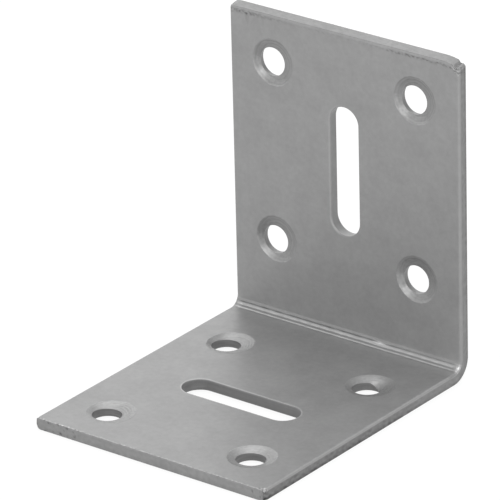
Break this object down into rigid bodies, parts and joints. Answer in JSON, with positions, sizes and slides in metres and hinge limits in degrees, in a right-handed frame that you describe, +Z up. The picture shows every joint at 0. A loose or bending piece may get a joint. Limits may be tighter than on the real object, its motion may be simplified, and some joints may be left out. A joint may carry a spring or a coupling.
{
  "type": "angle bracket",
  "caption": "Plain folded steel angle bracket with countersunk screw holes and an adjusting slot in each leg, for joining members at a right angle.",
  "frame": {"origin": "centre of the footprint, on the underside of the base leg", "axes": "+X along the fold, +Y from the free edge of the base leg to the back of the upright leg, +Z up along the upright leg"},
  "size_m": [0.05, 0.06, 0.061],
  "materials": {
    "zinc_steel": "matte zinc plate"
  },
  "bodies": {
    "root": {"bracket": "zinc_steel"}
  },
  "joints": []
}
